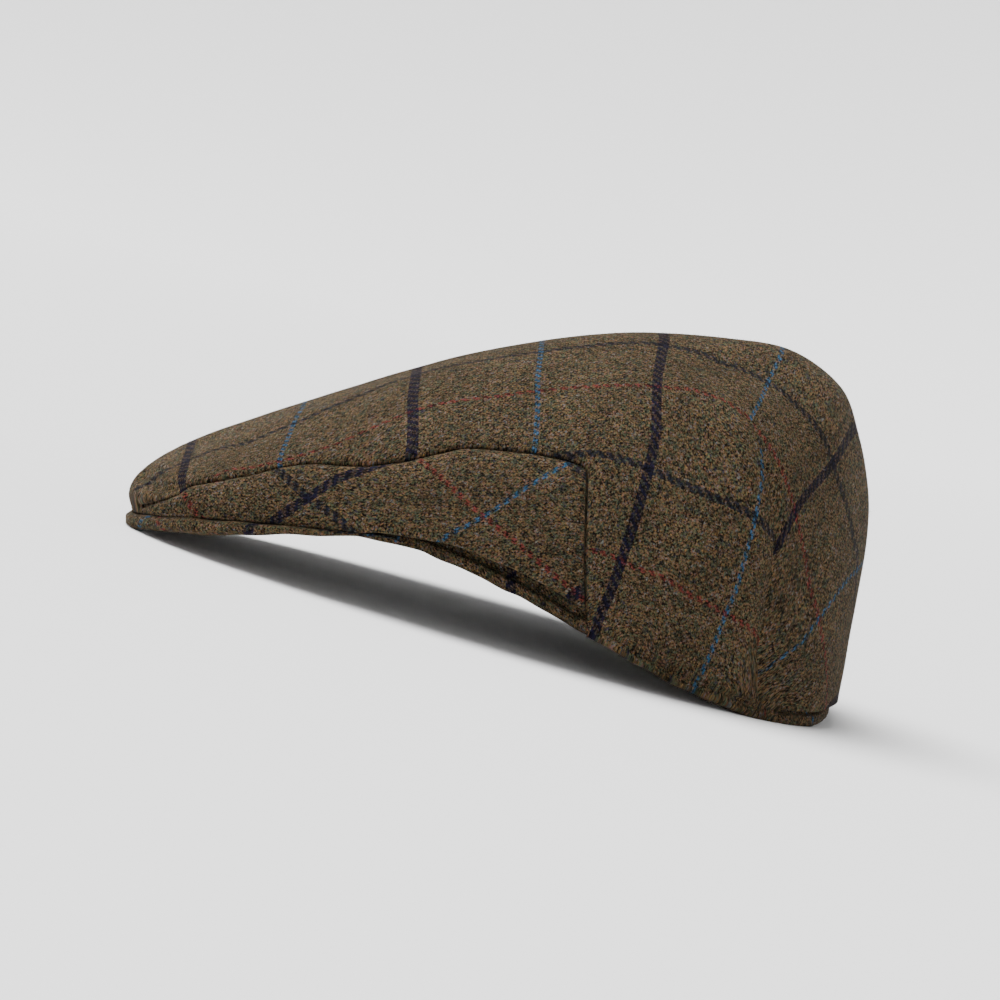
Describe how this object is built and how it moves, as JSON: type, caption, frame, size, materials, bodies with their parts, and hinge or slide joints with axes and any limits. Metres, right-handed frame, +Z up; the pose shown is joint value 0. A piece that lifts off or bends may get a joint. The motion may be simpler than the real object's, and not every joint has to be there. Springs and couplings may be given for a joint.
{
  "type": "flat cap",
  "caption": "Flat cap of checked tweed: a one-piece crown with darts at the back corners, front side panels, a stiff cloth-covered peak and a turned rim band, open underneath for the head.",
  "frame": {"origin": "on the ground under the middle of the cap, which rests on the lip of its peak and the back of its rim", "axes": "+Z up, -X towards the peak, +X towards the back of the cap, -Y towards the wearer's left"},
  "size_m": [0.2658, 0.1898, 0.1245],
  "materials": {
    "tweed": "matt brown-olive tweed with a navy, blue, dark green and red windowpane check"
  },
  "bodies": {
    "root": {"crown": "tweed", "side_panel_left": "tweed", "side_panel_right": "tweed", "peak": "tweed", "rim_band": "tweed"}
  },
  "joints": []
}
